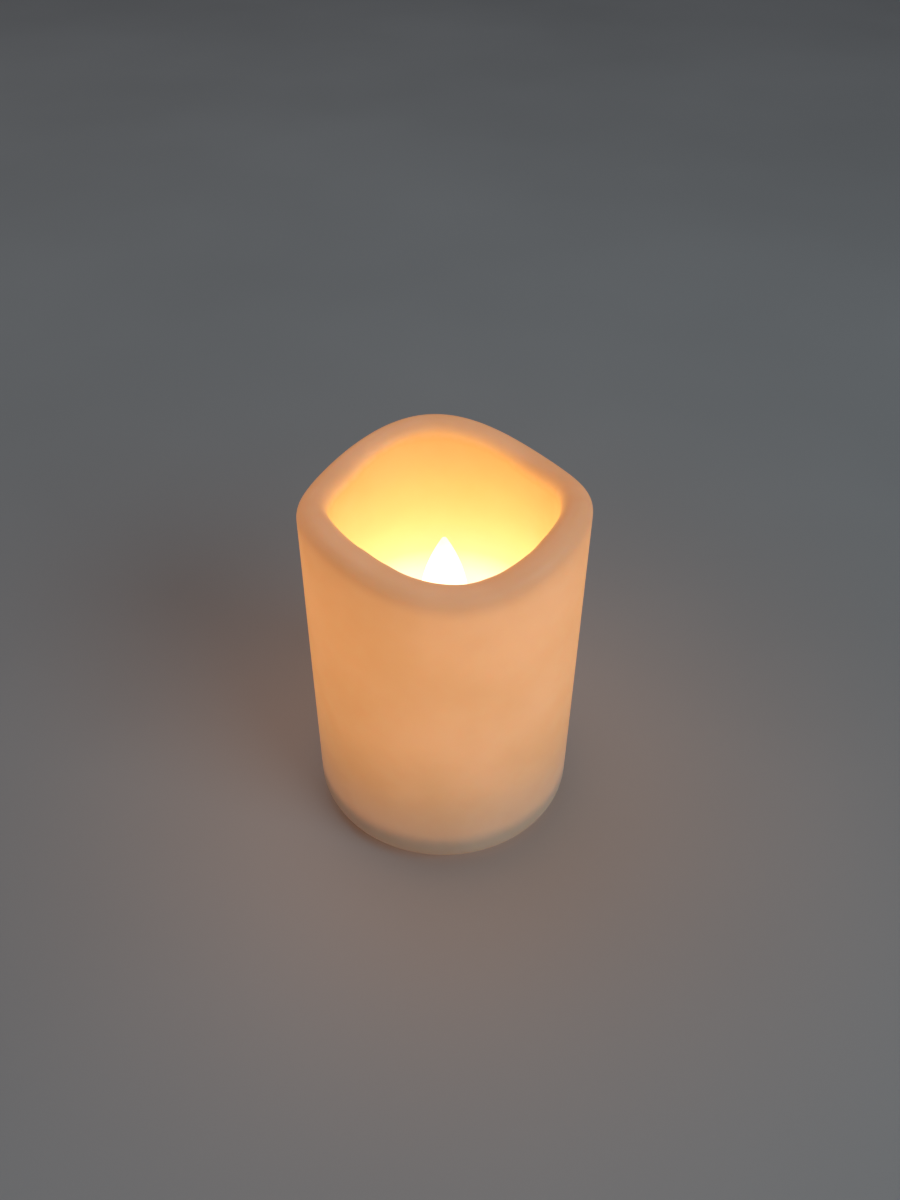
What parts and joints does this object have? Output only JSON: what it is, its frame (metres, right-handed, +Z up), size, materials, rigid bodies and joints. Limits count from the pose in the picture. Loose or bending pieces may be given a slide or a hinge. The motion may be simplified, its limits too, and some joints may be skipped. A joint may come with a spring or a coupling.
{
  "type": "flameless led candle",
  "caption": "Battery pillar candle: hollow wax shell with a wavy lip, a lit flame on a stalk inside it, and a base with battery door and slide switch.",
  "frame": {"origin": "centre of the foot ring on the table", "axes": "+Z up along the candle's axis, -Y the front, where the lip is lowest, +X to the right"},
  "size_m": [0.075, 0.075, 0.106],
  "materials": {
    "wax": "smooth ivory wax, slightly translucent, amber where the lamp shines through it",
    "frosted_flame": "frosted white plastic, lit from inside",
    "lamp_resin": "clear warm epoxy resin",
    "stem_plastic": "satin moulded plastic",
    "base_plastic": "ivory moulded plastic, fine spark texture",
    "knob_plastic": "black moulded plastic",
    "black_moulding": "black moulded resin",
    "board_laminate": "green solder mask",
    "screw_steel": "zinc plated steel",
    "spring_steel": "nickel plated spring wire",
    "contact_plate": "nickel plated sheet",
    "can_aluminium": "satin aluminium",
    "cell_wrap": "plain slate-grey wrap with a pale band at the positive end",
    "red_insulation": "red insulation",
    "black_insulation": "black insulation"
  },
  "bodies": {
    "candle": {"aaa_cell_1": "cell_wrap", "aaa_cell_2": "cell_wrap", "aaa_cell_3": "cell_wrap", "base_housing": "base_plastic", "battery_wire_black": "black_insulation", "battery_wire_red": "red_insulation", "board_screws": "screw_steel", "capacitor": "can_aluminium", "circuit_board": "board_laminate", "contact_spring_1": "spring_steel", "contact_spring_2": "spring_steel", "contact_spring_3": "spring_steel", "cover_screws": "screw_steel", "flame_diffuser": "frosted_flame", "flame_stem": "stem_plastic", "housing_cover": "base_plastic", "lead_sleeves": "stem_plastic", "led_body": "lamp_resin", "led_leads": "spring_steel", "led_wire_black": "black_insulation", "led_wire_red": "red_insulation", "link_contact_left": "contact_plate", "link_contact_right": "contact_plate", "negative_terminal": "contact_plate", "positive_terminal": "contact_plate", "resistors": "black_moulding", "switch_base": "black_moulding", "switch_frame": "screw_steel", "switch_terminals": "contact_plate", "switch_wires": "black_insulation", "timer_chip": "black_moulding", "timer_crystal": "can_aluminium", "wax_shell": "wax"},
    "door": {"battery_door": "base_plastic"},
    "switch": {"switch_knob": "knob_plastic"}
  },
  "joints": [
    {"name": "door_hinge", "type": "hinge", "parent": "candle", "child": "door", "pos_m": [-0.0248, 0, 0.0017], "axis": [0, 1, 0], "range_deg": [0, 95]},
    {"name": "switch_slide", "type": "slide", "parent": "candle", "child": "switch", "axis": [1, 0, 0], "range_m": [0, 0.005]}
  ]
}
